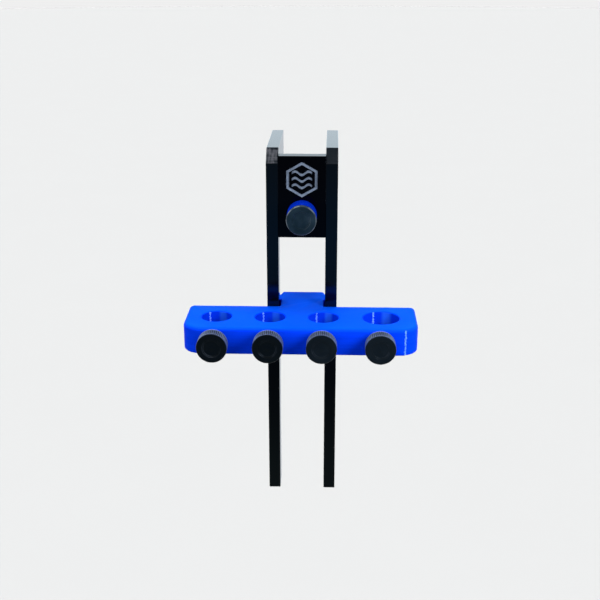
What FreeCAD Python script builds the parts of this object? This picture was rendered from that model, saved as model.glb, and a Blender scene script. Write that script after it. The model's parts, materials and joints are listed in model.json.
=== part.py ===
import FreeCAD, Part
import math
import os

# Hang-on probe holder for an aquarium or sump rim.
# Millimetres, +Z up. X runs along the probe bar, -Y is the side that the thumbscrews face.
# The origin is the middle of the rim seat: midway between the rails, midway across the hook's
# slot, at the height of the slot's roof, which rests on the tank's rim.

V = FreeCAD.Vector
X_AXIS = V(1, 0, 0)
Y_AXIS = V(0, 1, 0)
Z_AXIS = V(0, 0, 1)

# ---- acrylic frame -------------------------------------------------------------------------
SHEET = 5.0                 # acrylic sheet thickness
RAIL_GAP = 19.6             # clear width between the two rails
RAIL_HEIGHT = 155.0
BRIDGE_HEIGHT = 12.0        # from the slot's roof to the top of the rails
FRONT_LEG_DEPTH = 9.5
SLOT_WIDTH = 28.5
BACK_LEG_DEPTH = 9.5
BACK_LEG_LENGTH = 47.5      # from the top of the rails
TOP_CHAMFER = 5.75
SLOT_CORNER_RADIUS = 2.0
EDGE_BREAK = 0.2            # small bevel left by finishing the cut edges

PLATE_DROP = 2.4            # plate's top edge below the top of the rails
PLATE_HEIGHT = 34.3
EMBLEM_DROP = 9.8           # emblem's centre below the plate's top edge
EMBLEM_RADIUS = 7.4         # corner radius of the hexagon outline
EMBLEM_LINE = 1.1
ENGRAVING_DEPTH = 0.4
WAVE_COUNT = 3
WAVE_PITCH = 2.7
WAVE_LENGTH = 8.4
WAVE_HEIGHT = 0.75
WAVE_PERIODS = 1.5
WAVE_STEPS = 24

# ---- clamp screw ---------------------------------------------------------------------------
CLAMP_DROP = 26.8           # clamp axis below the top of the rails
CLAMP_STUD_RADIUS = 3.0
CLAMP_HEAD_RADIUS = 6.2
CLAMP_HEAD_THICKNESS = 1.7
CLAMP_HEAD_ROUND = 0.6
CLAMP_BOSS_RADIUS = 4.6
CLAMP_BOSS_LENGTH = 4.0
SLEEVE_LENGTH = 8.3
SLEEVE_STANDOFF = 0.4       # sleeve to plate when the screw is all the way in
PAD_RADIUS = 7.0
PAD_LENGTH = 5.0
PAD_BEVEL = 0.6
PAD_SOCKET_DEPTH = 2.9
MIN_WALL = 6.0              # thinnest tank wall that the clamp reaches

# ---- sliding probe bar ---------------------------------------------------------------------
BAR_LENGTH = 96.0
BAR_DEPTH = 27.0
BAR_HEIGHT = 11.25
BAR_TOP_DROP = 67.2         # bar's top below the top of the rails
BAR_CORNER_RADIUS = 8.0     # front corners, seen from above
BAR_REAR_RADIUS = 1.2       # rear corners, seen from above
BAR_TOP_RADIUS = 1.5        # rounding of the top edge at the front and both ends
BAR_EDGE_BREAK = 0.3
SLIDE_CLEARANCE = 0.1       # bar and flange to the rails' front and rear faces
NECK_CLEARANCE = 0.6        # neck to each rail's inner face
NECK_FILLET = 0.4
NECK_ROOT = 1.0             # neck's overlap with the bar and with the flange
FLANGE_HALF_WIDTH = 12.0
FLANGE_DEPTH = 9.55
WING_DEPTH = 2.0            # full-width part of the flange, behind the rails
TAIL_FRONT_HALF = 10.1      # half width where the flange's tail begins
TAIL_REAR_HALF = 8.8
TAIL_DEPTH = 4.0

HOLE_SETBACK = 13.0         # hole centres in front of the bar's rear face
HOLE_X = (-35.1, -12.8, 9.3, 33.2)
HOLE_RADIUS = (6.35, 6.35, 6.35, 7.65)
SCREW_X = (-35.0, -12.7, 8.8, 32.3)     # screw axes, close to the middle of each hole

# ---- probe thumbscrews ---------------------------------------------------------------------
HEAD_RADIUS = 6.2
HEAD_THICKNESS = 5.7
HEAD_GAP = 2.5              # bar's front face to the back of the head
KNURL_TEETH = 48
KNURL_DEPTH = 0.3
HEAD_FRONT_ROUND = 0.5
HEAD_REAR_ROUND = 0.4
DISH_RADIUS = 3.6
DISH_DEPTH = 0.45
SCREW_RADIUS = 2.5
SCREW_SOCKET = 3.6          # stud held inside the head
TIP_SETBACK = 0.2           # stud's tip behind the wall of the probe hole
INSERT_RADIUS = 3.5
INSERT_LENGTH = 5.0

# ---- fits ----------------------------------------------------------------------------------
RUNNING = 0.05              # radial clearance of a stud in its thread
PAD_PLAY = 0.2              # stud's end to the floor of the pad's socket
BORE_RELIEF = 0.3           # radial clearance of a stud in plain plastic

# ---- places worked out from the sizes above --------------------------------------------------
DEPTH = FRONT_LEG_DEPTH + SLOT_WIDTH + BACK_LEG_DEPTH
FRONT = -FRONT_LEG_DEPTH - SLOT_WIDTH / 2
BACK = FRONT + DEPTH
LEG_REAR = FRONT + FRONT_LEG_DEPTH
SLOT_REAR = LEG_REAR + SLOT_WIDTH
TOP = BRIDGE_HEIGHT
BOTTOM = TOP - RAIL_HEIGHT
BACK_LEG_BOTTOM = TOP - BACK_LEG_LENGTH
INNER = RAIL_GAP / 2

PLATE_TOP = TOP - PLATE_DROP
PLATE_BOTTOM = PLATE_TOP - PLATE_HEIGHT
EMBLEM_Z = PLATE_TOP - EMBLEM_DROP
CLAMP_Z = TOP - CLAMP_DROP

SLEEVE_REAR = FRONT - SLEEVE_STANDOFF
SLEEVE_FRONT = SLEEVE_REAR - SLEEVE_LENGTH
CLAMP_FACE = SLEEVE_FRONT - CLAMP_HEAD_THICKNESS
PAD_FACE = SLOT_REAR - MIN_WALL
PAD_BACK = PAD_FACE - PAD_LENGTH
CLAMP_TIP = PAD_BACK + PAD_SOCKET_DEPTH - PAD_PLAY

BAR_REAR = FRONT - SLIDE_CLEARANCE
BAR_FRONT = BAR_REAR - BAR_DEPTH
BAR_TOP = TOP - BAR_TOP_DROP
BAR_BOTTOM = BAR_TOP - BAR_HEIGHT
BAR_MIDDLE = (BAR_TOP + BAR_BOTTOM) / 2
FLANGE_FRONT = LEG_REAR + SLIDE_CLEARANCE
FLANGE_REAR = FLANGE_FRONT + FLANGE_DEPTH
NECK_HALF = INNER - NECK_CLEARANCE
HOLE_Y = BAR_REAR - HOLE_SETBACK

HEAD_REAR = BAR_FRONT - HEAD_GAP
HEAD_FRONT = HEAD_REAR - HEAD_THICKNESS


def cylinder_y(radius, y_front, y_rear, x=0.0, z=0.0):
    """Cylinder along Y between two Y positions."""
    return Part.makeCylinder(radius, y_rear - y_front, V(x, y_front, z), Y_AXIS)


def revolve_y(profile, x=0.0, z=0.0):
    """Solid of revolution about a line along Y; profile is a list of (radius, y) points."""
    points = [V(x + radius, y, z) for radius, y in profile]
    face = Part.Face(Part.makePolygon(points + [points[0]]))
    return face.revolve(V(x, 0, z), Y_AXIS, 360)


def prism(points, direction):
    """Extrude a closed polygon of vectors along a vector."""
    face = Part.Face(Part.makePolygon(points + [points[0]]))
    return face.extrude(direction)


def round_arc(centre_radius, centre_y, radius, start_deg, end_deg, steps=6):
    """Points of an arc in a (radius, y) profile."""
    points = []
    for step in range(steps + 1):
        angle = math.radians(start_deg + (end_deg - start_deg) * step / steps)
        points.append((centre_radius + radius * math.cos(angle), centre_y + radius * math.sin(angle)))
    return points


def edges_along(shape, axis, test):
    """Straight edges parallel to an axis whose middle point passes the test."""
    found = []
    for edge in shape.Edges:
        ends = edge.Vertexes
        if len(ends) != 2:
            continue
        run = ends[1].Point - ends[0].Point
        if run.Length > 0 and abs(run.normalize().dot(axis)) > 0.999:
            middle = (ends[0].Point + ends[1].Point) / 2
            if test(middle):
                found.append(edge)
    return found


def make_rail(side):
    """One acrylic rail on edge: long front leg, bridge, slot for the tank wall, short back leg."""
    x_low = INNER if side > 0 else -INNER - SHEET
    outline = [
        V(x_low, FRONT, BOTTOM),
        V(x_low, LEG_REAR, BOTTOM),
        V(x_low, LEG_REAR, 0),
        V(x_low, SLOT_REAR, 0),
        V(x_low, SLOT_REAR, BACK_LEG_BOTTOM),
        V(x_low, BACK, BACK_LEG_BOTTOM),
        V(x_low, BACK, TOP),
        V(x_low, FRONT + TOP_CHAMFER, TOP),
        V(x_low, FRONT, TOP - TOP_CHAMFER),
    ]
    rail = prism(outline, V(SHEET, 0, 0))
    corners = edges_along(rail, X_AXIS, lambda p: abs(p.z) < 0.01)
    rail = rail.makeFillet(SLOT_CORNER_RADIUS, corners)
    return rail.makeChamfer(EDGE_BREAK, rail.Edges)


def hexagon(radius, depth):
    """Hexagonal prism with a point up, sunk from the plate's front face."""
    points = []
    for corner in range(6):
        angle = math.radians(30 + 60 * corner)
        points.append(V(radius * math.cos(angle), FRONT - depth, EMBLEM_Z + radius * math.sin(angle)))
    return prism(points, V(0, 2 * depth, 0))


def wave(z_middle):
    """One engraved water line: a thin sine ribbon."""
    half = EMBLEM_LINE / 2
    upper = []
    lower = []
    for step in range(WAVE_STEPS + 1):
        along = step / WAVE_STEPS
        x = WAVE_LENGTH * (along - 0.5)
        z = z_middle + WAVE_HEIGHT * math.sin(2 * math.pi * WAVE_PERIODS * along)
        upper.append(V(x, FRONT - ENGRAVING_DEPTH, z + half))
        lower.append(V(x, FRONT - ENGRAVING_DEPTH, z - half))
    return prism(upper + lower[::-1], V(0, 2 * ENGRAVING_DEPTH, 0))


def make_clamp_plate():
    """Acrylic plate bonded between the rails, engraved and tapped for the clamp screw."""
    corner = V(-INNER, FRONT, PLATE_BOTTOM)
    plate = Part.makeBox(RAIL_GAP, SHEET, PLATE_HEIGHT, corner)
    plate = plate.cut(cylinder_y(CLAMP_STUD_RADIUS + RUNNING, FRONT, FRONT + SHEET, z=CLAMP_Z))
    plate = plate.cut(hexagon(EMBLEM_RADIUS, ENGRAVING_DEPTH).cut(
        hexagon(EMBLEM_RADIUS - EMBLEM_LINE / math.cos(math.radians(30)), ENGRAVING_DEPTH)))
    for row in range(WAVE_COUNT):
        plate = plate.cut(wave(EMBLEM_Z + WAVE_PITCH * (row - (WAVE_COUNT - 1) / 2)))
    return plate


def make_clamp_head():
    """Thin black cap of the clamp screw, with a boss that is pressed into the sleeve."""
    rim = CLAMP_HEAD_RADIUS
    profile = [(0, CLAMP_FACE + DISH_DEPTH), (DISH_RADIUS - DISH_DEPTH, CLAMP_FACE + DISH_DEPTH)]
    profile += [(DISH_RADIUS, CLAMP_FACE)]
    profile += round_arc(rim - CLAMP_HEAD_ROUND, CLAMP_FACE + CLAMP_HEAD_ROUND, CLAMP_HEAD_ROUND, -90, 0)
    profile += [(rim, SLEEVE_FRONT)]
    profile += [(CLAMP_BOSS_RADIUS, SLEEVE_FRONT)]
    profile += [(CLAMP_BOSS_RADIUS, SLEEVE_FRONT + CLAMP_BOSS_LENGTH)]
    profile += [(CLAMP_STUD_RADIUS, SLEEVE_FRONT + CLAMP_BOSS_LENGTH)]
    profile += [(CLAMP_STUD_RADIUS, SLEEVE_FRONT), (0, SLEEVE_FRONT)]
    return revolve_y(profile, z=CLAMP_Z)


def make_clamp_sleeve():
    """Printed barrel between the cap and the plate: the fingers' grip on the clamp screw."""
    barrel = cylinder_y(CLAMP_HEAD_RADIUS, SLEEVE_FRONT, SLEEVE_REAR, z=CLAMP_Z)
    pocket = cylinder_y(CLAMP_BOSS_RADIUS, SLEEVE_FRONT, SLEEVE_FRONT + CLAMP_BOSS_LENGTH, z=CLAMP_Z)
    passage = cylinder_y(CLAMP_STUD_RADIUS, SLEEVE_FRONT, SLEEVE_REAR, z=CLAMP_Z)
    barrel = barrel.cut(pocket).cut(passage)
    rear_rim = [e for e in barrel.Edges
                if abs(e.BoundBox.YMin - SLEEVE_REAR) < 0.01 and e.BoundBox.XLength > 2 * CLAMP_BOSS_RADIUS]
    return barrel.makeChamfer(BAR_EDGE_BREAK, rear_rim)


def make_stud(radius, y_front, y_rear, x, z):
    """Plain shank at the thread's outer diameter, with a bevelled end."""
    bevel = radius / 5
    profile = [(0, y_front), (radius, y_front)]
    profile += [(radius, y_rear - bevel), (radius - bevel, y_rear), (0, y_rear)]
    return revolve_y(profile, x, z)


def make_clamp_pad():
    """Printed pressure pad on the end of the clamp stud, which turns in its socket."""
    pad = cylinder_y(PAD_RADIUS, PAD_BACK, PAD_FACE, z=CLAMP_Z)
    rims = [e for e in pad.Edges if e.BoundBox.YLength < 0.01]
    pad = pad.makeChamfer(PAD_BEVEL, rims)
    socket = cylinder_y(CLAMP_STUD_RADIUS + RUNNING, PAD_BACK, PAD_BACK + PAD_SOCKET_DEPTH, z=CLAMP_Z)
    return pad.cut(socket)


def bar_block():
    """The plain block that the bar is shaped from."""
    return Part.makeBox(BAR_LENGTH, BAR_DEPTH, BAR_HEIGHT, V(-BAR_LENGTH / 2, BAR_FRONT, BAR_BOTTOM))


def bar_body():
    """The bar itself: round upright corners, and a rounded top edge at the front and both ends."""
    body = bar_block()
    front_corners = edges_along(body, Z_AXIS, lambda p: p.y < BAR_REAR - BAR_REAR_RADIUS)
    body = body.makeFillet(BAR_CORNER_RADIUS, front_corners)
    top_rim = [e for e in body.Edges
               if e.BoundBox.ZMin > BAR_TOP - BAR_EDGE_BREAK and e.BoundBox.YMin < BAR_REAR - BAR_REAR_RADIUS]
    body = body.makeFillet(BAR_TOP_RADIUS, top_rim)
    bottom_rim = [e for e in body.Edges if e.BoundBox.ZMax < BAR_BOTTOM + BAR_EDGE_BREAK]
    body = body.makeChamfer(BAR_EDGE_BREAK, bottom_rim)
    rounding = bar_block()
    rear_corners = edges_along(rounding, Z_AXIS, lambda p: abs(p.y - BAR_REAR) < 0.01)
    return body.common(rounding.makeFillet(BAR_REAR_RADIUS, rear_corners))


def slide_tee():
    """Neck that passes between the rails and the flange that hooks behind them."""
    neck = Part.makeBox(2 * NECK_HALF, FLANGE_FRONT - BAR_REAR + 2 * NECK_ROOT, BAR_HEIGHT,
                        V(-NECK_HALF, BAR_REAR - NECK_ROOT, BAR_BOTTOM))
    flange_half = [
        (FLANGE_HALF_WIDTH, FLANGE_FRONT),
        (FLANGE_HALF_WIDTH, FLANGE_FRONT + WING_DEPTH),
        (TAIL_FRONT_HALF, FLANGE_REAR - TAIL_DEPTH),
        (TAIL_REAR_HALF, FLANGE_REAR),
    ]
    right = [V(x, y, BAR_BOTTOM) for x, y in flange_half]
    left = [V(-x, y, BAR_BOTTOM) for x, y in reversed(flange_half)]
    tee = neck.fuse(prism(right + left, V(0, 0, BAR_HEIGHT)))
    for side in (-1, 1):
        for y_root, inward in ((BAR_REAR, 1), (FLANGE_FRONT, -1)):
            gusset = [
                V(side * NECK_HALF, y_root, BAR_BOTTOM),
                V(side * (NECK_HALF + NECK_FILLET), y_root, BAR_BOTTOM),
                V(side * NECK_HALF, y_root + inward * NECK_FILLET, BAR_BOTTOM),
            ]
            tee = tee.fuse(prism(gusset, V(0, 0, BAR_HEIGHT)))
    return tee


def make_holder_bar():
    """Printed bar with its T-shaped slide, four probe holes and a screw bore into each."""
    bar = bar_body().fuse(slide_tee()).removeSplitter()
    for x, radius in zip(HOLE_X, HOLE_RADIUS):
        bar = bar.cut(Part.makeCylinder(radius, BAR_HEIGHT, V(x, HOLE_Y, BAR_BOTTOM), Z_AXIS))
    for x in SCREW_X:
        bar = bar.cut(cylinder_y(SCREW_RADIUS + BORE_RELIEF, BAR_FRONT, HOLE_Y, x, BAR_MIDDLE))
        bar = bar.cut(cylinder_y(INSERT_RADIUS, BAR_FRONT, BAR_FRONT + INSERT_LENGTH, x, BAR_MIDDLE))
    return bar


def make_insert(x):
    """Threaded insert melted into the bar's front face."""
    body = cylinder_y(INSERT_RADIUS, BAR_FRONT, BAR_FRONT + INSERT_LENGTH, x, BAR_MIDDLE)
    return body.cut(cylinder_y(SCREW_RADIUS + RUNNING, BAR_FRONT, BAR_FRONT + INSERT_LENGTH, x, BAR_MIDDLE))


def knurled_blank(x, z):
    """Star-shaped prism: the knurl's fine teeth over the head's whole thickness."""
    points = []
    for step in range(2 * KNURL_TEETH):
        radius = HEAD_RADIUS - KNURL_DEPTH * (step % 2)
        angle = math.pi * step / KNURL_TEETH
        points.append(V(x + radius * math.cos(angle), HEAD_FRONT, z + radius * math.sin(angle)))
    return prism(points, V(0, HEAD_THICKNESS, 0))


def make_probe_head(x):
    """Knurled thumbscrew head with a rounded rim and a shallow dish in its face."""
    socket_end = HEAD_REAR - SCREW_SOCKET
    rim = HEAD_RADIUS - HEAD_FRONT_ROUND
    profile = [(0, HEAD_FRONT + DISH_DEPTH), (DISH_RADIUS - DISH_DEPTH, HEAD_FRONT + DISH_DEPTH)]
    profile += [(DISH_RADIUS, HEAD_FRONT)]
    profile += round_arc(rim, HEAD_FRONT + HEAD_FRONT_ROUND, HEAD_FRONT_ROUND, -90, 0)
    profile += round_arc(HEAD_RADIUS - HEAD_REAR_ROUND, HEAD_REAR - HEAD_REAR_ROUND, HEAD_REAR_ROUND, 0, 90)
    profile += [(SCREW_RADIUS, HEAD_REAR), (SCREW_RADIUS, socket_end), (0, socket_end)]
    return revolve_y(profile, x, BAR_MIDDLE).common(knurled_blank(x, BAR_MIDDLE))


def make_probe_stud(x, hole_radius):
    """Threaded stud from inside the head to just short of the probe hole's wall."""
    tip = HOLE_Y - hole_radius - TIP_SETBACK
    return make_stud(SCREW_RADIUS, HEAD_REAR - SCREW_SOCKET, tip, x, BAR_MIDDLE)


def export(name, shape):
    """Write one sub-part and print its size."""
    assert shape.isValid() and shape.Volume > 0, name
    shape.exportStep("parts/" + name + ".step")
    print(name, len(shape.Solids), "solid", round(shape.Volume, 1), "mm3")


def main():
    os.makedirs("parts", exist_ok=True)
    export("rail_left", make_rail(-1))
    export("rail_right", make_rail(1))
    export("clamp_plate", make_clamp_plate())
    export("clamp_head", make_clamp_head())
    export("clamp_sleeve", make_clamp_sleeve())
    export("clamp_stud", make_stud(CLAMP_STUD_RADIUS, SLEEVE_FRONT, CLAMP_TIP, 0, CLAMP_Z))
    export("clamp_pad", make_clamp_pad())
    export("holder_bar", make_holder_bar())
    for number, (x, radius) in enumerate(zip(SCREW_X, HOLE_RADIUS), start=1):
        export("probe_insert_%d" % number, make_insert(x))
        export("probe_head_%d" % number, make_probe_head(x))
        export("probe_stud_%d" % number, make_probe_stud(x, radius))


main()
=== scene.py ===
import json
import math
import random

import bmesh
import bpy
from mathutils import Matrix, Vector


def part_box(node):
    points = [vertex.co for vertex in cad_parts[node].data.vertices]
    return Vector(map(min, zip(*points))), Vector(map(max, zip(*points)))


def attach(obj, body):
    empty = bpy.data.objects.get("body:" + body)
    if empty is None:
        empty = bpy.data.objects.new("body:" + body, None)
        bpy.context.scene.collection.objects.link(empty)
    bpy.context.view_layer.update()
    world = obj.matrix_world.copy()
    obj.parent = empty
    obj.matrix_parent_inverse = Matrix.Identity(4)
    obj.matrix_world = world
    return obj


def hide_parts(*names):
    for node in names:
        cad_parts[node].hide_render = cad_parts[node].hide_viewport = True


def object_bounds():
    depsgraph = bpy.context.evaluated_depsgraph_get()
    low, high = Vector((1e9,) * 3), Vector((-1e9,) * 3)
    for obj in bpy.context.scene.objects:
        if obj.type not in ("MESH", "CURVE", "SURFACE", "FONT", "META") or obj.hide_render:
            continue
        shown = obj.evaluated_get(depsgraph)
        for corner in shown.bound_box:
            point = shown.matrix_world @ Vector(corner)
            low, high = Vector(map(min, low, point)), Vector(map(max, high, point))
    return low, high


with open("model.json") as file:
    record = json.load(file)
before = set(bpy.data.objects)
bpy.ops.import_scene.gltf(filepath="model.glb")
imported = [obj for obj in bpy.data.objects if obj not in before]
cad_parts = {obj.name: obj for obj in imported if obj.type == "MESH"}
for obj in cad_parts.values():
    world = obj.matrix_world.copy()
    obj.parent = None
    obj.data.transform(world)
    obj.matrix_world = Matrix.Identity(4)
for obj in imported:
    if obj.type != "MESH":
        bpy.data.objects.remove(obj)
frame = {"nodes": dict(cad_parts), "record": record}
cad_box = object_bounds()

MM = 0.001
NODES = frame["nodes"]
RECORD = frame["record"]
MOUNTS = {mount["name"]: mount for mount in RECORD["mounts"]}
SCREWS = (1, 2, 3, 4)

# ---- places read from the frame ------------------------------------------------------------------
RAIL_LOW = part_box("rail_right")[0]
BAR_LOW, BAR_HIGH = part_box("holder_bar")
PLATE_LOW, PLATE_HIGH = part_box("clamp_plate")

# ---- the printed bar's sizes, in metres ----------------------------------------------------------
LAYER = 0.2 * MM                # printed layer height
RASTER = 0.6 * MM               # spacing of the raster lines on flat faces
FRONT_LEG = 9.5 * MM            # depth of a rail's front leg, which the slide wraps
SLIDE_PLAY = 0.1 * MM
NECK_HALF = 9.2 * MM
FLANGE_HALF = 12.0 * MM
WING_DEPTH = 2.0 * MM
TAIL_FRONT_HALF = 10.1 * MM
TAIL_REAR_HALF = 8.8 * MM
TAIL_DEPTH = 4.0 * MM
SLIDE_CORNER = 0.45 * MM
SMALLEST_CORNER = 0.15 * MM
BAR_CORNER = 8.0 * MM           # front corners, seen from above
BAR_REAR_ROUND = 1.2 * MM
BAR_TOP_ROUND = 1.5 * MM        # rounding of the top edge at the front and ends
EDGE_BREAK = 0.3 * MM           # bevel of the other edges
BORE_RADIUS = 2.8 * MM
INSERT_RADIUS = 3.5 * MM
CUT_PAST = 1.0 * MM             # how far a cutter reaches past the bar

# ---- the layer seams' sizes ----------------------------------------------------------------------
HOLE_SEAM_ANGLES = (122, 120, 117, 113)     # degrees round each hole from +X
CORNER_SEAM_ANGLE = math.radians(19)
BEAD_WIDTH = 0.42 * MM
LARGE_HOLE_BEAD_WIDTH = 0.50 * MM
BEAD_DEPTH = 0.14 * MM
BEAD_WANDER = 0.12 * MM
MISSING_BEADS = 0.12            # share of layers without a bead

# ---- the screws' sizes ---------------------------------------------------------------------------
KNURL_TEETH = 48
KNURL_DEPTH = 0.45 * MM
RING_STEPS = KNURL_TEETH * 8
DISH_RADIUS = 3.9 * MM
DISH_DEPTH = 0.3 * MM
DISH_FOOT = DISH_RADIUS - 0.85 * MM         # where the dish's floor starts to curve up
DISH_FOOT_ROUND = 0.35 * MM
DISH_LIP_ROUND = 0.28 * MM
GATE_MARK = ((0.25, 0.10), (0.55, 0.02), (0.75, 0.0))   # radius and height of its points, in mm
HEAD_RIM = 0.5 * MM             # rounding of a head's front rim
HEAD_REAR_ROUND = 0.45 * MM
BOSS_RADIUS = 3.9 * MM          # low boss behind a head
BOSS_TIP_RADIUS = 3.7 * MM
BOSS_HEIGHT = 0.35 * MM
BOSS_HOLE_RADIUS = 2.45 * MM
CAP_REAR_BEVEL = 0.15 * MM
CAP_PLUG_RADIUS = 4.6 * MM      # the part of the clamp screw's cap that sits in its sleeve
CAP_HOLE_RADIUS = 3.02 * MM
PROBE_PITCH = 0.8 * MM
CLAMP_PITCH = 1.0 * MM
THREAD_DEPTH = 0.12             # thread's depth as a share of its diameter
UNTHREADED = 4.0 * MM           # length at a stud's head end

# ---- the blacks of the four heads, darker and paler tone: heads 3 and 4 painted paler and bluer, a painted light from the right ---
SHADED_HEAD_BLACK = ((0.0004, 0.0006, 0.0008, 1.0), (0.0010, 0.0014, 0.0018, 1.0))
LIT_HEAD_BLACK = ((0.0020, 0.0034, 0.0050, 1.0), (0.0034, 0.0054, 0.0078, 1.0))
HEAD_BLACKS = (SHADED_HEAD_BLACK, SHADED_HEAD_BLACK, LIT_HEAD_BLACK, LIT_HEAD_BLACK)

# ---- the surroundings' sizes and the camera, in metres and degrees -------------------------------
FLOOR_SIZE = 60.0
FLOOR_DROP = 1.3                # below the part
SHELL_RADIUS = 29.0
CAMERA_PLACE = (0.01264, -0.42601, 0.08924)
CAMERA_VIEW = 33.40             # angle across the picture
CAMERA_PITCH_DOWN = 19.384
CAMERA_ROLL = 0.042
CAMERA_TURN = 1.902


# ---- mesh helpers --------------------------------------------------------------------------------
def new_object(name, mesh, smooth_angle=35):
    """Link a mesh as an object, smooth except across edges sharper than the angle."""
    piece = bpy.data.objects.new(name, mesh)
    bpy.context.scene.collection.objects.link(piece)
    mesh.shade_smooth()
    mesh.set_sharp_from_angle(angle=math.radians(smooth_angle))
    return piece


def mesh_from(name, points, faces, smooth_angle=35):
    """Object made of these points and faces, with its normals turned outwards."""
    mesh = bpy.data.meshes.new(name)
    mesh.from_pydata(points, [], faces)
    work = bmesh.new()
    work.from_mesh(mesh)
    bmesh.ops.recalc_face_normals(work, faces=work.faces)
    work.to_mesh(mesh)
    work.free()
    return new_object(name, mesh, smooth_angle)


def ring_mesh(name, rings, smooth_angle=35):
    """Skin a list of equal closed rings of points and cap both ends with a fan."""
    count = len(rings[0])
    points = [point for ring in rings for point in ring]
    faces = []
    for level in range(len(rings) - 1):
        for step in range(count):
            after = (step + 1) % count
            a, b = level * count + step, level * count + after
            faces.append((a, b, b + count, a + count))
    for level, flip in ((0, True), (len(rings) - 1, False)):
        ring = rings[level]
        centre = sum(ring, Vector()) / count
        points.append(centre)
        hub = len(points) - 1
        for step in range(count):
            a, b = level * count + step, level * count + (step + 1) % count
            faces.append((hub, b, a) if flip else (hub, a, b))
    return mesh_from(name, points, faces, smooth_angle)


def plate_mesh(name, rings):
    """Skin equal closed rings, with one flat face at each end, as a clean solid."""
    count = len(rings[0])
    points = [point for ring in rings for point in ring]
    faces = [tuple(reversed(range(count))), tuple(range(len(points) - count, len(points)))]
    for level in range(len(rings) - 1):
        for step in range(count):
            a, b = level * count + step, level * count + (step + 1) % count
            faces.append((a, b, b + count, a + count))
    return mesh_from(name, points, faces)


def arc(centre_r, centre_y, radius, start_deg, end_deg, steps=8):
    """Points (radius, y) along an arc of a turned profile."""
    found = []
    for step in range(steps + 1):
        angle = math.radians(start_deg + (end_deg - start_deg) * step / steps)
        found.append((centre_r + radius * math.cos(angle), centre_y + radius * math.sin(angle)))
    return found


def rounded_outline(corners, steps=12):
    """Points of a closed outline whose corners (x, y, radius) become arcs."""
    found = []
    count = len(corners)
    for index, (x, y, radius) in enumerate(corners):
        here = Vector((x, y))
        before = (Vector(corners[index - 1][:2]) - here).normalized()
        after = (Vector(corners[(index + 1) % count][:2]) - here).normalized()
        half_angle = before.angle(after) / 2
        reach = radius / math.tan(half_angle)
        centre = here + (before + after).normalized() * radius / math.sin(half_angle)
        start = here + before * reach - centre
        turn = start.angle_signed(here + after * reach - centre)
        for step in range(steps + 1):
            angle = -turn * step / steps
            spoke = Vector((start.x * math.cos(angle) - start.y * math.sin(angle),
                            start.x * math.sin(angle) + start.y * math.cos(angle)))
            found.append(centre + spoke)
    return found


# ---- node helpers --------------------------------------------------------------------------------
class Nodes:
    """Short calls for building a material's node tree."""

    def __init__(self, name):
        self.material = bpy.data.materials.new(name)
        self.material.use_nodes = True
        self.tree = self.material.node_tree
        self.shader = self.tree.nodes["Principled BSDF"]
        self.place = self.add("ShaderNodeTexCoord").outputs["Object"]

    def add(self, kind, **settings):
        node = self.tree.nodes.new(kind)
        for key, value in settings.items():
            setattr(node, key, value)
        return node

    def link(self, source, target):
        self.tree.links.new(source, target)

    def put(self, socket, value):
        if isinstance(value, bpy.types.NodeSocket):
            self.link(value, socket)
        else:
            socket.default_value = value

    def math(self, operation, first, second=0.0):
        node = self.add("ShaderNodeMath", operation=operation)
        for socket, value in zip(node.inputs, (first, second)):
            self.put(socket, value)
        return node.outputs[0]

    def times(self, first, second):
        return self.math("MULTIPLY", first, second)

    def plus(self, first, second):
        return self.math("ADD", first, second)

    def length(self, first, second):
        """Length of the flat vector with these two parts."""
        return self.math("SQRT", self.plus(self.times(first, first), self.times(second, second)))

    def axes(self, vector):
        node = self.add("ShaderNodeSeparateXYZ")
        self.link(vector, node.inputs[0])
        return node.outputs

    def scaled(self, scale):
        node = self.add("ShaderNodeMapping")
        self.link(self.place, node.inputs["Vector"])
        node.inputs["Scale"].default_value = scale
        return node.outputs[0]

    def noise(self, vector, scale, detail=3.0, roughness=0.5):
        node = self.add("ShaderNodeTexNoise")
        self.link(vector, node.inputs["Vector"])
        node.inputs["Scale"].default_value = scale
        node.inputs["Detail"].default_value = detail
        node.inputs["Roughness"].default_value = roughness
        return node.outputs["Fac"]

    def spread(self, value, low_in, high_in, low_out, high_out, smooth=False):
        node = self.add("ShaderNodeMapRange", interpolation_type="SMOOTHSTEP" if smooth else "LINEAR")
        node.clamp = True
        self.put(node.inputs["Value"], value)
        limits = {"From Min": low_in, "From Max": high_in, "To Min": low_out, "To Max": high_out}
        for key, number in limits.items():
            self.put(node.inputs[key], number)
        return node.outputs["Result"]

    def mix(self, factor, first, second):
        node = self.add("ShaderNodeMix", data_type="RGBA")
        self.put(node.inputs["Factor"], factor)
        self.put(node.inputs["A"], first)
        self.put(node.inputs["B"], second)
        return node.outputs["Result"]

    def bump(self, height, distance, under=None):
        node = self.add("ShaderNodeBump")
        self.link(height, node.inputs["Height"])
        node.inputs["Strength"].default_value = 1.0
        node.inputs["Distance"].default_value = distance
        if under is not None:
            self.link(under, node.inputs["Normal"])
        return node.outputs["Normal"]

    def facing(self):
        """Absolute parts of the surface normal: how much it faces X, Y and Z."""
        parts = self.axes(self.add("ShaderNodeNewGeometry").outputs["Normal"])
        return [self.math("ABSOLUTE", part) for part in parts]


def colour(red, green, blue):
    return (red, green, blue, 1.0)


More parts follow.
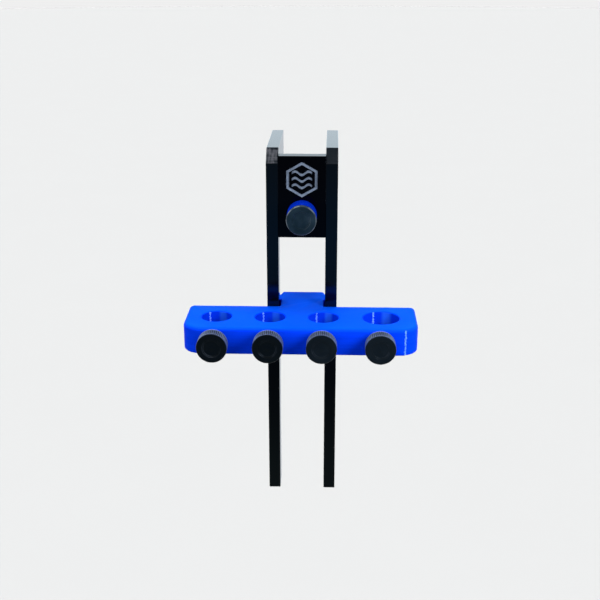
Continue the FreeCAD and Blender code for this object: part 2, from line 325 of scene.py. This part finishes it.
# ---- materials -----------------------------------------------------------------------------------
def acrylic(name, frost_and_reflection):
    """Black acrylic: polished faces, laser-cut edges with fine striations, a filed bevel at the top.

    The last argument sets how pale the bevel is painted: partly the frosting that filing leaves, partly a
    painted reflection.
    """
    n = Nodes(name)
    faces_x, faces_y, faces_z = n.facing()
    cut_edge = n.spread(faces_x, 0.6, 0.9, 1.0, 0.0)
    slope = n.times(n.times(faces_y, faces_z), 2.0)
    bevel = n.spread(slope, 0.85, 0.97, 0.0, 1.0)
    lines = n.noise(n.scaled((0.02, 1.0, 1.0)), 1700.0, 2.0, 0.6)
    broad = n.noise(n.scaled((0.05, 1.0, 1.0)), 160.0, 2.0)
    hatch = n.noise(n.scaled((1.0, 0.12, 0.12)), 1700.0, 2.0, 0.6)
    smudge = n.noise(n.place, 45.0, 4.0, 0.6)
    filing = n.plus(lines, hatch)
    cut_height = n.times(n.plus(lines, n.times(broad, 0.6)), cut_edge)
    filed_height = n.times(bevel, n.times(filing, 2.2))
    n.link(n.bump(n.plus(cut_height, filed_height), 0.004 * MM), n.shader.inputs["Normal"])
    polish = n.spread(smudge, 0.35, 0.7, 0.03, 0.09)
    edge_polish = n.spread(cut_edge, 0.0, 1.0, polish, 0.13)
    filed_rough = n.spread(hatch, 0.40, 0.60, 0.28, 0.56)
    n.link(n.spread(bevel, 0.0, 1.0, edge_polish, filed_rough), n.shader.inputs["Roughness"])
    # pale grey on the bevel: the filing's frosting plus a painted reflection
    grain = n.spread(filing, 0.90, 1.12, 0.0, frost_and_reflection)
    black = colour(0.0004, 0.0006, 0.0009)
    grey = colour(0.040, 0.040, 0.046)
    n.link(n.mix(n.times(bevel, grain), black, grey), n.shader.inputs["Base Color"])
    n.shader.inputs["IOR"].default_value = 1.49
    return n.material


def engraved_acrylic(name):
    """The clamp plate: polished black, with a frosted floor and walls where it is engraved."""
    n = Nodes(name)
    place = n.axes(n.place)
    sunk = n.math("GREATER_THAN", place[1], PLATE_LOW.y + 0.06 * MM)
    shallow = n.math("LESS_THAN", place[1], PLATE_LOW.y + 0.6 * MM)
    above = n.math("GREATER_THAN", place[2], PLATE_HIGH.z - 20.0 * MM)
    below = n.math("LESS_THAN", place[2], PLATE_HIGH.z - 0.5 * MM)
    engraved = n.times(n.times(sunk, shallow), n.times(above, below))
    grain = n.noise(n.place, 2800.0, 2.0, 0.7)
    cloud = n.noise(n.place, 180.0, 2.0)
    dark_frost = colour(0.055, 0.075, 0.110)
    pale_frost = colour(0.155, 0.190, 0.250)
    frosted = n.mix(n.spread(grain, 0.3, 0.7, 0.0, 1.0), dark_frost, pale_frost)
    shaded = n.mix(n.spread(cloud, 0.35, 0.65, 0.0, 0.35), frosted, colour(0.03, 0.036, 0.05))
    n.link(n.mix(engraved, colour(0.0003, 0.0003, 0.0006), shaded), n.shader.inputs["Base Color"])
    polish = n.spread(n.noise(n.place, 50.0, 4.0), 0.35, 0.7, 0.03, 0.08)
    n.link(n.spread(engraved, 0.0, 1.0, polish, 0.6), n.shader.inputs["Roughness"])
    n.link(n.bump(n.times(grain, engraved), 0.03 * MM), n.shader.inputs["Normal"])
    n.shader.inputs["IOR"].default_value = 1.49
    n.shader.inputs["Specular IOR Level"].default_value = 0.12
    return n.material


def hole_shade_and_highlight(n, base):
    """Painted shade darkening the walls in the probe holes, and a painted highlight: a paler upright band
    on the right of each rear wall.
    """
    # painted shade inside the holes, and the painted highlight of the upright band
    dark = colour(0.0006, 0.023, 0.50)
    pale = colour(0.008, 0.072, 0.56)
    band_across = 0.33          # in hole radii to the right of the hole's middle
    wall_reach = 1.04           # in hole radii
    place = n.axes(n.place)
    upright = n.spread(n.facing()[2], 0.3, 0.6, 1.0, 0.0)
    for number in SCREWS:
        mount = MOUNTS["probe_hole_%d" % number]
        radius = mount["dims"]["r_mm"] * MM
        across = n.math("DIVIDE", n.math("SUBTRACT", place[0], mount["pos_m"][0]), radius)
        along = n.math("DIVIDE", n.math("SUBTRACT", place[1], mount["pos_m"][1]), radius)
        inside = n.times(n.math("LESS_THAN", n.length(across, along), wall_reach), upright)
        base = n.mix(inside, base, dark)
        off_band = n.math("ABSOLUTE", n.math("SUBTRACT", across, band_across))
        rear = n.math("GREATER_THAN", along, 0.0)
        band = n.times(n.spread(off_band, 0.10, 0.34, 1.0, 0.0, True), rear)
        base = n.mix(n.times(band, inside), base, pale)
    return base


def print_relief(n, layer_axis, flat, banding, grain):
    """Normal of a print: layer lines on its walls, slanted raster lines on its flat faces."""
    place = n.axes(n.place)
    wobble = n.times(n.noise(n.place, 90.0, 2.0), 0.35)
    layers = n.math("PINGPONG", n.plus(n.math("DIVIDE", place[layer_axis], LAYER), wobble), 0.5)
    raster = n.math("PINGPONG", n.math("DIVIDE", n.plus(place[0], place[1]), RASTER), 0.5)
    height = n.add("ShaderNodeMix", data_type="FLOAT")
    n.link(flat, height.inputs["Factor"])
    n.link(n.plus(layers, n.times(banding, 1.6)), height.inputs["A"])
    n.link(n.times(raster, 0.35), height.inputs["B"])
    return n.bump(height.outputs["Result"], 0.05 * MM, n.bump(grain, 0.015 * MM))


def printed_blue(name, layer_axis, depth, holes=False):
    """Blue filament print whose layers stack along an axis; depth scales its colour down, used to paint
    shade onto the round parts.
    """
    n = Nodes(name)
    flat = n.spread(n.facing()[layer_axis], 0.8, 0.95, 0.0, 1.0)
    across = [0.02, 0.02, 0.02]
    across[layer_axis] = 1.0
    banding = n.noise(n.scaled(across), 1400.0, 2.0, 0.6)
    grain = n.noise(n.place, 1500.0, 3.0, 0.6)
    cloud = n.noise(n.place, 70.0, 3.0)
    n.link(print_relief(n, layer_axis, flat, banding, grain), n.shader.inputs["Normal"])
    # painted light: the walls and the flat faces of the one filament get different blues, the flat faces
    # far less blue, set to how each is lit
    wall_pale = colour(0.0008 * depth, 0.039 * depth, 0.72 * depth)
    wall_deep = colour(0.0005 * depth, 0.031 * depth, 0.64 * depth)
    flat_pale = colour(0.0003 * depth, 0.042 * depth, 0.41 * depth)
    flat_deep = colour(0.0002 * depth, 0.035 * depth, 0.36 * depth)
    wall_blue = n.mix(n.spread(banding, 0.3, 0.7, 0.0, 1.0), wall_deep, wall_pale)
    flat_blue = n.mix(n.spread(cloud, 0.3, 0.7, 0.0, 1.0), flat_deep, flat_pale)
    base = n.mix(flat, wall_blue, flat_blue)
    # the bar's probe holes get painted shade and a painted highlight
    n.link(hole_shade_and_highlight(n, base) if holes else base, n.shader.inputs["Base Color"])
    wall_rough = n.spread(grain, 0.3, 0.7, 0.36, 0.46)
    n.link(n.spread(flat, 0.0, 1.0, wall_rough, 0.6), n.shader.inputs["Roughness"])
    n.shader.inputs["Specular IOR Level"].default_value = 0.005
    n.shader.inputs["IOR"].default_value = 1.46
    return n.material


def seam_material(name):
    """Scuffed, paler filament along the layer seams."""
    n = Nodes(name)
    grain = n.noise(n.place, 1800.0, 2.0)
    blue = colour(0.03, 0.13, 0.95)
    scuffed = colour(0.14, 0.30, 1.0)
    n.link(n.mix(n.spread(grain, 0.35, 0.65, 0.0, 1.0), blue, scuffed), n.shader.inputs["Base Color"])
    n.link(n.spread(grain, 0.3, 0.7, 0.3, 0.5), n.shader.inputs["Roughness"])
    return n.material


def nylon(name, dark, light):
    """Nodes of moulded black nylon with a fine satin skin."""
    n = Nodes(name)
    skin = n.noise(n.place, 1900.0, 3.0, 0.6)
    cloud = n.noise(n.place, 240.0, 3.0)
    n.link(n.mix(n.spread(cloud, 0.3, 0.7, 0.0, 1.0), dark, light), n.shader.inputs["Base Color"])
    n.link(n.spread(cloud, 0.3, 0.7, 0.34, 0.44), n.shader.inputs["Roughness"])
    n.link(n.bump(skin, 0.01 * MM), n.shader.inputs["Normal"])
    n.shader.inputs["IOR"].default_value = 1.53
    return n


def distance_from_axis(n, x, z):
    """Distance of the shaded point from the line along Y through (x, z)."""
    place = n.axes(n.place)
    return n.length(n.math("SUBTRACT", place[0], x), n.math("SUBTRACT", place[2], z))


def dish_highlight(n, base, reach, paler_tone):
    """Painted highlight: spots of paler colour on the sloping wall of a head's dish."""
    in_dish = n.math("LESS_THAN", reach, DISH_RADIUS + 0.2 * MM)
    wall = n.times(in_dish, n.spread(n.facing()[1], 0.80, 0.97, 1.0, 0.0))
    # the dish wall is painted paler in spots as a highlight
    patches = n.spread(n.noise(n.place, 260.0, 1.0), 0.48, 0.62, 0.0, 1.0)
    return n.mix(n.times(wall, patches), base, paler_tone)


def cap_nylon(x, z, radius):
    """Nylon of the clamp screw's cap on the axis (x, z): cloudy and bluish, partly its own mottling and
    partly a painted sky reflection, with a painted highlight in spots along its rim and in its dish.
    """
    # bluish cloud: the nylon's mottling plus a painted sky reflection and paler painted light
    n = nylon("nylon_cap", colour(0.002, 0.006, 0.010), colour(0.008, 0.016, 0.024))
    base = n.shader.inputs["Base Color"].links[0].from_socket
    reach = distance_from_axis(n, x, z)
    base = dish_highlight(n, base, reach, colour(0.050, 0.066, 0.080))
    # painted highlight along the rim, in spots
    rim = n.spread(reach, radius - 0.40 * MM, radius - 0.20 * MM, 0.0, 1.0)
    edge = n.times(rim, n.spread(n.facing()[1], 0.2, 0.4, 0.0, 1.0))
    rim_highlight_spots = n.spread(n.noise(n.place, 330.0, 1.0), 0.40, 0.60, 0.15, 1.0)
    pale = colour(0.075, 0.088, 0.100)
    n.link(n.mix(n.times(edge, rim_highlight_spots), base, pale), n.shader.inputs["Base Color"])
    return n.material


def knurled_nylon(name, dark, light, x, z, radius):
    """Nylon of a thumbscrew head on the axis (x, z): its knurl's crests are paler and bluer, partly from
    wear and partly a painted reflection of the blue bar and the light above.
    """
    n = nylon(name, dark, light)
    base = n.shader.inputs["Base Color"].links[0].from_socket
    reach = distance_from_axis(n, x, z)
    crest = n.spread(reach, radius - 0.8 * KNURL_DEPTH, radius - 0.25 * KNURL_DEPTH, 0.0, 1.0)
    side = n.spread(n.facing()[1], 0.3, 0.6, 1.0, 0.0)
    # paler, bluer crests: wear plus a painted reflection of the blue bar and the light above
    paler_tone = n.mix(n.times(crest, side), base, colour(0.030, 0.043, 0.100))
    # painted highlight on the dish wall
    n.link(dish_highlight(n, paler_tone, reach, colour(0.016, 0.021, 0.029)), n.shader.inputs["Base Color"])
    return n.material


def brass(name):
    """Turned brass with concentric tool marks."""
    n = Nodes(name)
    marks = n.noise(n.scaled((1.0, 0.05, 1.0)), 3000.0, 2.0)
    n.link(n.mix(marks, colour(0.55, 0.36, 0.13), colour(0.78, 0.58, 0.26)), n.shader.inputs["Base Color"])
    n.shader.inputs["Metallic"].default_value = 1.0
    n.link(n.spread(marks, 0.3, 0.7, 0.22, 0.4), n.shader.inputs["Roughness"])
    n.link(n.bump(marks, 0.01 * MM), n.shader.inputs["Normal"])
    return n.material


def paint(piece, material):
    """Give a piece this one material."""
    piece.data.materials.clear()
    piece.data.materials.append(material)


# ---- screws --------------------------------------------------------------------------------------
def knurled_ring(x, z, radius, y, weight):
    """One ring of a head: a circle whose radius dips between the knurl's teeth."""
    found = []
    for step in range(RING_STEPS):
        angle = 2 * math.pi * step / RING_STEPS
        dip = (0.5 - 0.5 * math.cos(KNURL_TEETH * angle)) ** 0.7
        reach = radius - KNURL_DEPTH * weight * dip
        found.append(Vector((x + reach * math.cos(angle), y, z + reach * math.sin(angle))))
    return found


def face_profile(front, radius):
    """The dished face of a screw's head, from its gate mark to its rounded rim: (radius, y) points."""
    floor = front + DISH_DEPTH
    found = [(reach * MM, floor - height * MM) for reach, height in GATE_MARK]
    found.append((DISH_FOOT, floor))
    found += arc(DISH_FOOT, floor - DISH_FOOT_ROUND, DISH_FOOT_ROUND, 90, 25, 5)[1:]
    found += arc(DISH_RADIUS + 0.1 * MM, front + DISH_LIP_ROUND, DISH_LIP_ROUND, 205, 270, 5)
    found.append((radius - HEAD_RIM - 0.2 * MM, front))
    found += arc(radius - HEAD_RIM, front + HEAD_RIM, HEAD_RIM, -90, 0, 8)
    return found


def probe_head(number, dark, light):
    """Knurled thumbscrew head: dished face, round rim, teeth that fade out at both ends."""
    low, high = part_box("probe_head_%d" % number)
    x, z = (low.x + high.x) / 2, (low.z + high.z) / 2
    radius = (high.x - low.x) / 2
    start, end = low.y + HEAD_RIM, high.y - HEAD_REAR_ROUND
    boss_end = high.y + BOSS_HEIGHT
    rows = 10
    run_out = 0.12              # share of the knurl's length over which it fades at each end
    rings = [knurled_ring(x, z, reach, y, 0.0) for reach, y in face_profile(low.y, radius)]
    for row in range(rows + 1):
        share = row / rows
        fade = min(1.0, share / run_out, (1 - share) / run_out)
        rings.append(knurled_ring(x, z, radius, start + (end - start) * share, fade))
    rear = arc(radius - HEAD_REAR_ROUND, end, HEAD_REAR_ROUND, 0, 90, 5)[1:]
    rear += [(BOSS_RADIUS, high.y), (BOSS_TIP_RADIUS, boss_end), (BOSS_HOLE_RADIUS, boss_end)]
    rings += [knurled_ring(x, z, reach, y, 0.0) for reach, y in rear]
    head = ring_mesh("thumbscrew_head_%d" % number, rings, smooth_angle=50)
    paint(head, knurled_nylon("nylon_head_%d" % number, dark, light, x, z, radius))
    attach(head, "probe_knob_%d" % number)
    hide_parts("probe_head_%d" % number)


def clamp_cap():
    """Thin dished cap at the front of the clamp screw."""
    low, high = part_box("clamp_head")
    x, z = (low.x + high.x) / 2, (low.z + high.z) / 2
    radius = (high.x - low.x) / 2
    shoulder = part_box("clamp_sleeve")[0].y
    profile = face_profile(low.y, radius)
    profile += [(radius, shoulder - CAP_REAR_BEVEL), (radius - CAP_REAR_BEVEL, shoulder)]
    profile += [(CAP_PLUG_RADIUS, shoulder), (CAP_PLUG_RADIUS, high.y), (CAP_HOLE_RADIUS, high.y)]
    rings = [knurled_ring(x, z, reach, y, 0.0) for reach, y in profile]
    cap = ring_mesh("clamp_screw_cap", rings, smooth_angle=50)
    paint(cap, cap_nylon(x, z, radius))
    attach(cap, "clamp_screw")
    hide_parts("clamp_head")


def threaded_stud(name, node, body, pitch, material):
    """A stud with a real helical thread, plain at its head end and bevelled at its far end."""
    low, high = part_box(node)
    x, z = (low.x + high.x) / 2, (low.z + high.z) / 2
    major = (high.x - low.x) / 2
    depth = 2 * major * THREAD_DEPTH
    around = 40
    per_turn = 8
    half_groove = 0.38          # in pitches
    bevel = 0.9 * depth
    count = int((high.y - low.y) / pitch * per_turn)
    rings = []
    for level in range(count + 1):
        y = low.y + (high.y - low.y) * level / count
        fade = min(1.0, max(0.0, (y - low.y - UNTHREADED) / pitch))
        end = max(0.0, 1 - (high.y - y) / bevel)
        ring = []
        for step in range(around):
            angle = 2 * math.pi * step / around
            phase = ((y - low.y) / pitch - step / around) % 1.0
            groove = max(0.0, 1 - abs(phase - 0.5) / half_groove)
            reach = major - depth * max(groove * fade, end)
            ring.append(Vector((x + reach * math.cos(angle), y, z + reach * math.sin(angle))))
        rings.append(ring)
    stud = ring_mesh(name, rings, smooth_angle=60)
    paint(stud, material)
    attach(stud, body)
    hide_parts(node)


# ---- the printed bar -----------------------------------------------------------------------------
def bar_edges():
    """Corners of the bar and its T-shaped slide from above, as (x, y, corner radius, rounded).

    rounded says whether the top edge from this corner to the next one is rounded.
    """
    half = BAR_HIGH.x
    front, rear = BAR_LOW.y, RAIL_LOW.y - SLIDE_PLAY
    flange_front = RAIL_LOW.y + FRONT_LEG + SLIDE_PLAY
    flange_rear = BAR_HIGH.y
    right = [
        (half, front, BAR_CORNER),
        (half, rear, BAR_REAR_ROUND),
        (NECK_HALF, rear, SLIDE_CORNER),
        (NECK_HALF, flange_front, SLIDE_CORNER),
        (FLANGE_HALF, flange_front, SLIDE_CORNER),
        (FLANGE_HALF, flange_front + WING_DEPTH, SLIDE_CORNER),
        (TAIL_FRONT_HALF, flange_rear - TAIL_DEPTH, SLIDE_CORNER),
        (TAIL_REAR_HALF, flange_rear, SLIDE_CORNER),
    ]
    left = [(-x, y, radius) for x, y, radius in reversed(right)]
    corners = right + left
    rounded = {0, len(corners) - 2, len(corners) - 1}
    return [corner + (index in rounded,) for index, corner in enumerate(corners)]


def inset_outline(corners, round_inset, slide_inset):
    """Move each edge inwards, the rounded ones by their own distance, and round the new corners."""
    count = len(corners)
    insets = [round_inset if rounded else slide_inset for *_, rounded in corners]
    lines = []
    for index, corner in enumerate(corners):
        start = Vector(corner[:2])
        run = (Vector(corners[(index + 1) % count][:2]) - start).normalized()
        lines.append((start + Vector((-run.y, run.x)) * insets[index], run))
    moved = []
    for index in range(count):
        before, after = lines[index - 1], lines[index]
        reach = (after[0] - before[0]).cross(after[1]) / before[1].cross(after[1])
        place = before[0] + before[1] * reach
        inset = min(insets[index - 1], insets[index])
        moved.append((place.x, place.y, max(corners[index][2] - inset, SMALLEST_CORNER)))
    return rounded_outline(moved)


def cut_away(piece, cutter):
    """Subtract a closed mesh from a piece and delete the mesh."""
    cut = piece.modifiers.new("cut", "BOOLEAN")
    cut.operation = "DIFFERENCE"
    cut.solver = "EXACT"
    cut.object = cutter
    with bpy.context.temp_override(object=piece, active_object=piece):
        bpy.ops.object.modifier_apply(modifier=cut.name)
    bpy.data.objects.remove(cutter)


def hole_cutter(number):
    """Upright cylinder of a probe hole, flared where it meets the bar's top."""
    mount = MOUNTS["probe_hole_%d" % number]
    x, y = mount["pos_m"][0], mount["pos_m"][1]
    radius = mount["dims"]["r_mm"] * MM
    sides = 128
    angles = [2 * math.pi * step / sides for step in range(sides)]
    stations = [
        (radius, BAR_LOW.z - CUT_PAST),
        (radius, BAR_HIGH.z - EDGE_BREAK),
        (radius + 3 * EDGE_BREAK, BAR_HIGH.z + 2 * EDGE_BREAK),
    ]
    rings = []
    for reach, z in stations:
        circle = [(x + reach * math.cos(angle), y + reach * math.sin(angle)) for angle in angles]
        rings.append([Vector((*spot, z)) for spot in circle])
    return ring_mesh("cutter", rings, smooth_angle=30)


def screw_cutter(number):
    """Stepped cylinder that cuts a screw's bore and its insert's pocket from the bar."""
    low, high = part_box("probe_insert_%d" % number)
    x, z = (low.x + high.x) / 2, (low.z + high.z) / 2
    hole_y = MOUNTS["probe_hole_%d" % number]["pos_m"][1]
    stations = [
        (INSERT_RADIUS, low.y - CUT_PAST),
        (INSERT_RADIUS, high.y),
        (BORE_RADIUS, high.y),
        (BORE_RADIUS, hole_y),
    ]
    every = 6                   # a cutter needs fewer points round it than a knurl
    rings = [knurled_ring(x, z, radius, y, 0.0)[::every] for radius, y in stations]
    return ring_mesh("cutter", rings, smooth_angle=30)


def printed_bar(material):
    """The bar: its plan skinned from bottom bevel to rounded top, then cut for probes and screws."""
    corners = bar_edges()
    levels = [(BAR_LOW.z, EDGE_BREAK, EDGE_BREAK), (BAR_LOW.z + EDGE_BREAK, 0.0, 0.0)]
    steps = 12
    for step in range(steps + 1):
        angle = math.pi / 2 * step / steps
        z = BAR_HIGH.z - BAR_TOP_ROUND * (1 - math.sin(angle))
        round_inset = BAR_TOP_ROUND * (1 - math.cos(angle))
        levels.append((z, round_inset, max(0.0, EDGE_BREAK - (BAR_HIGH.z - z))))
    rings = []
    for z, round_inset, slide_inset in levels:
        outline = inset_outline(corners, round_inset, slide_inset)
        rings.append([Vector((point.x, point.y, z)) for point in outline])
    bar = plate_mesh("sliding_bar", rings)
    for number in SCREWS:
        cut_away(bar, hole_cutter(number))
        cut_away(bar, screw_cutter(number))
    bar.data.shade_smooth()
    bar.data.set_sharp_from_angle(angle=math.radians(30))
    paint(bar, material)
    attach(bar, "bar")
    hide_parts("holder_bar")


def seam(name, path, top, bead, material):
    """A column of small uneven beads, one where most layers start; path(z) is its place and tangent."""
    draws = random.Random(name)
    work = bmesh.new()
    layers = int((top - BAR_LOW.z - EDGE_BREAK) / LAYER)
    for layer in range(layers):
        if draws.random() < MISSING_BEADS:
            continue
        z = BAR_LOW.z + EDGE_BREAK + (layer + 0.5) * LAYER
        place, tangent = path(z)
        size = bead * draws.uniform(0.55, 1.15)
        place = place + tangent * draws.gauss(0.0, BEAD_WANDER)
        turn = Matrix.Rotation(math.atan2(tangent.y, tangent.x), 4, "Z")
        stretch = Matrix.Diagonal((size, BEAD_DEPTH, 0.75 * LAYER, 1.0))
        shape = Matrix.Translation((place.x, place.y, z)) @ turn @ stretch
        bmesh.ops.create_icosphere(work, subdivisions=2, radius=1.0, matrix=shape)
    mesh = bpy.data.meshes.new(name)
    work.to_mesh(mesh)
    work.free()
    column = new_object(name, mesh)
    paint(column, material)
    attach(column, "bar")


def bar_seams(material):
    """Seams on the rear wall of each hole and up the right front corner."""
    for number in SCREWS:
        mount = MOUNTS["probe_hole_%d" % number]
        angle = math.radians(HOLE_SEAM_ANGLES[number - 1])
        spoke = Vector((math.cos(angle), math.sin(angle)))
        spot = Vector(mount["pos_m"][:2]) + spoke * mount["dims"]["r_mm"] * MM
        upright = (spot, spoke.orthogonal())
        bead = LARGE_HOLE_BEAD_WIDTH if number == 4 else BEAD_WIDTH
        seam("hole_seam_%d" % number, lambda z: upright, BAR_HIGH.z - EDGE_BREAK, bead, material)

    centre = Vector((BAR_HIGH.x - BAR_CORNER, BAR_LOW.y + BAR_CORNER))
    spoke = Vector((math.sin(CORNER_SEAM_ANGLE), -math.cos(CORNER_SEAM_ANGLE)))

    def up_the_corner(z):
        climb = max(0.0, z - (BAR_HIGH.z - BAR_TOP_ROUND))
        inset = BAR_TOP_ROUND - math.sqrt(BAR_TOP_ROUND ** 2 - climb ** 2)
        return centre + spoke * (BAR_CORNER - inset), spoke.orthogonal()

    seam("corner_seam", up_the_corner, BAR_HIGH.z - 0.5 * MM, BEAD_WIDTH, material)


# ---- surroundings --------------------------------------------------------------------------------
def floor_paint():
    """Matt paint, very slightly cloudy."""
    n = Nodes("floor_paint")
    darker = colour(0.338, 0.329, 0.318)
    lighter = colour(0.343, 0.334, 0.323)
    n.link(n.mix(n.noise(n.place, 3.0), darker, lighter), n.shader.inputs["Base Color"])
    n.shader.inputs["Roughness"].default_value = 0.9
    n.shader.inputs["Specular IOR Level"].default_value = 0.0
    return n.material


def shell_glow():
    """Even pale light, the same from every side."""
    glow = bpy.data.materials.new("shell_glow")
    glow.use_nodes = True
    tree = glow.node_tree
    tree.nodes.clear()
    light = tree.nodes.new("ShaderNodeEmission")
    light.inputs["Color"].default_value = colour(0.863, 0.863, 0.863)
    out = tree.nodes.new("ShaderNodeOutputMaterial")
    tree.links.new(light.outputs[0], out.inputs["Surface"])
    return glow


def stage_floor():
    """Plain floor well below the hanging object and a pale shell far round it, for the camera alone."""
    bpy.ops.mesh.primitive_plane_add(size=FLOOR_SIZE, location=(0, 0, cad_box[0][2] - FLOOR_DROP))
    floor = bpy.context.object
    floor.name = "floor"
    paint(floor, floor_paint())
    bpy.ops.mesh.primitive_uv_sphere_add(radius=SHELL_RADIUS, segments=64, ring_count=32)
    shell = bpy.context.object
    shell.name = "shell"
    paint(shell, shell_glow())
    for thing in (floor, shell):
        thing.visible_diffuse = False
        thing.visible_glossy = False
        thing.visible_transmission = False
        thing.visible_shadow = False


FRONT_ROOM = (                  # height of the direction's unit vector, and the light from there
    (-1.00, (0.08, 0.11, 0.12)),
    (-0.50, (0.10, 0.15, 0.16)),
    (-0.42, (0.03, 0.04, 0.05)),
    (-0.38, (0.02, 0.03, 0.06)),
    (-0.28, (0.03, 0.14, 0.34)),
    (-0.20, (0.045, 0.08, 0.13)),
    (0.10, (0.05, 0.07, 0.11)),
    (0.70, (0.08, 0.11, 0.16)),
    (0.88, (0.28, 0.36, 0.46)),
    (1.00, (0.28, 0.39, 0.52)),
)
BACK_ROOM = (
    (-1.00, (0.45, 0.48, 0.52)),
    (-0.20, (0.65, 0.70, 0.75)),
    (0.05, (1.17, 1.38, 1.52)),
    (0.50, (1.17, 1.38, 1.52)),
    (0.75, (0.28, 0.39, 0.52)),
    (1.00, (0.28, 0.39, 0.52)),
)


def studio_world():
    """Soft room light, bright behind the part and dim in front, made from the direction alone."""
    world = bpy.data.worlds.new("studio")
    bpy.context.scene.world = world
    world.use_nodes = True
    tree = world.node_tree
    axes = tree.nodes.new("ShaderNodeSeparateXYZ")
    tree.links.new(tree.nodes.new("ShaderNodeTexCoord").outputs["Generated"], axes.inputs[0])

    def spread(source, low, high):
        node = tree.nodes.new("ShaderNodeMapRange")
        node.interpolation_type = "SMOOTHSTEP"
        node.inputs["From Min"].default_value = low
        node.inputs["From Max"].default_value = high
        tree.links.new(source, node.inputs["Value"])
        return node.outputs["Result"]

    def blend(factor, first, second):
        node = tree.nodes.new("ShaderNodeMix")
        node.data_type = "RGBA"
        tree.links.new(factor, node.inputs["Factor"])
        for socket, value in ((node.inputs["A"], first), (node.inputs["B"], second)):
            if isinstance(value, bpy.types.NodeSocket):
                tree.links.new(value, socket)
            else:
                socket.default_value = colour(*value)
        return node.outputs["Result"]

    def ramp(stops):
        found = stops[0][1]
        for (low, _), (high, light) in zip(stops, stops[1:]):
            found = blend(spread(axes.outputs["Z"], low, high), found, light)
        return found

    room = blend(spread(axes.outputs["Y"], -0.1, 0.5), ramp(FRONT_ROOM), ramp(BACK_ROOM))
    ground = tree.nodes["Background"]
    tree.links.new(room, ground.inputs["Color"])
    ground.inputs["Strength"].default_value = 1.0


def add_hidden_lamp(lamp_object):
    """Put a lamp in the scene so that neither the camera nor a glossy face shows it."""
    lamp_object.visible_camera = False
    lamp_object.visible_glossy = False
    bpy.context.scene.collection.objects.link(lamp_object)


def sky_lamp(name, towards, energy, spread_deg):
    """A distant soft light; towards points from the part to the light."""
    lamp = bpy.data.lights.new(name, "SUN")
    lamp.energy = energy
    lamp.angle = math.radians(spread_deg)
    lamp_object = bpy.data.objects.new(name, lamp)
    lamp_object.rotation_euler = Vector(towards).to_track_quat("Z", "Y").to_euler()
    add_hidden_lamp(lamp_object)


def near_lamp(name, towards, distance, size, energy):
    """A round soft light near the bar; towards points from the bar's middle to the light."""
    lamp = bpy.data.lights.new(name, "AREA")
    lamp.shape = "DISK"
    lamp.size = size
    lamp.energy = energy
    lamp_object = bpy.data.objects.new(name, lamp)
    aim = Vector(towards).normalized()
    lamp_object.location = (BAR_LOW + BAR_HIGH) / 2 + aim * distance
    lamp_object.rotation_euler = aim.to_track_quat("Z", "Y").to_euler()
    add_hidden_lamp(lamp_object)


def aim_camera():
    """Camera fitted to the photo's edges: in front of the part, above it and a little to its right."""
    lens = bpy.data.cameras.new("camera")
    lens.angle = math.radians(CAMERA_VIEW)
    lens.clip_start = 0.01
    camera = bpy.data.objects.new("camera", lens)
    camera.location = CAMERA_PLACE
    tilt = (90 - CAMERA_PITCH_DOWN, CAMERA_ROLL, CAMERA_TURN)
    camera.rotation_euler = [math.radians(angle) for angle in tilt]
    bpy.context.scene.collection.objects.link(camera)
    bpy.context.scene.camera = camera


# ---- the scene -----------------------------------------------------------------------------------
def build():
    """Materials, pieces, surroundings, lamps and camera, in that order."""
    # the left rail's bevel is painted far paler than the right's: a painted reflection over the filing's
    # frosting
    left_acrylic = acrylic("acrylic_left", frost_and_reflection=0.9)
    right_acrylic = acrylic("acrylic_right", frost_and_reflection=0.06)
    plate_acrylic = engraved_acrylic("acrylic_plate")
    bar_blue = printed_blue("print_bar", layer_axis=2, depth=1.0, holes=True)
    # the sleeve and pad take the same blue painted three times darker: painted shade
    shaded_round_blue = printed_blue("print_round_painted_shade", layer_axis=1, depth=0.33)
    seam_blue = seam_material("print_seam")
    stud_nylon = nylon("nylon_studs", colour(0.006, 0.007, 0.008), colour(0.010, 0.012, 0.014)).material
    insert_brass = brass("brass")

    paint(NODES["rail_left"], left_acrylic)
    paint(NODES["rail_right"], right_acrylic)
    paint(NODES["clamp_plate"], plate_acrylic)
    paint(NODES["clamp_sleeve"], shaded_round_blue)
    paint(NODES["clamp_pad"], shaded_round_blue)
    for number in SCREWS:
        paint(NODES["probe_insert_%d" % number], insert_brass)
        # heads 3 and 4 take the paler, bluer black: painted light from the right
        probe_head(number, *HEAD_BLACKS[number - 1])
        probe_stud = "probe_stud_%d" % number
        threaded_stud("thumbscrew_stud_%d" % number, probe_stud, probe_stud, PROBE_PITCH, stud_nylon)
    clamp_cap()
    threaded_stud("clamp_screw_stud", "clamp_stud", "clamp_screw", CLAMP_PITCH, stud_nylon)
    printed_bar(bar_blue)
    bar_seams(seam_blue)

    stage_floor()
    studio_world()
    near_lamp("key", (0.68, -0.57, 0.47), distance=0.22, size=0.10, energy=0.70)
    near_lamp("left_glow", (-0.50, -0.35, 0.79), distance=0.10, size=0.05, energy=0.05)
    sky_lamp("fill", (-0.60, -0.70, 0.35), energy=1.7, spread_deg=60)
    sky_lamp("overhead", (0.0, 0.35, 0.94), energy=6.6, spread_deg=75)
    aim_camera()
    bpy.context.scene.view_settings.view_transform = "Standard"


build()
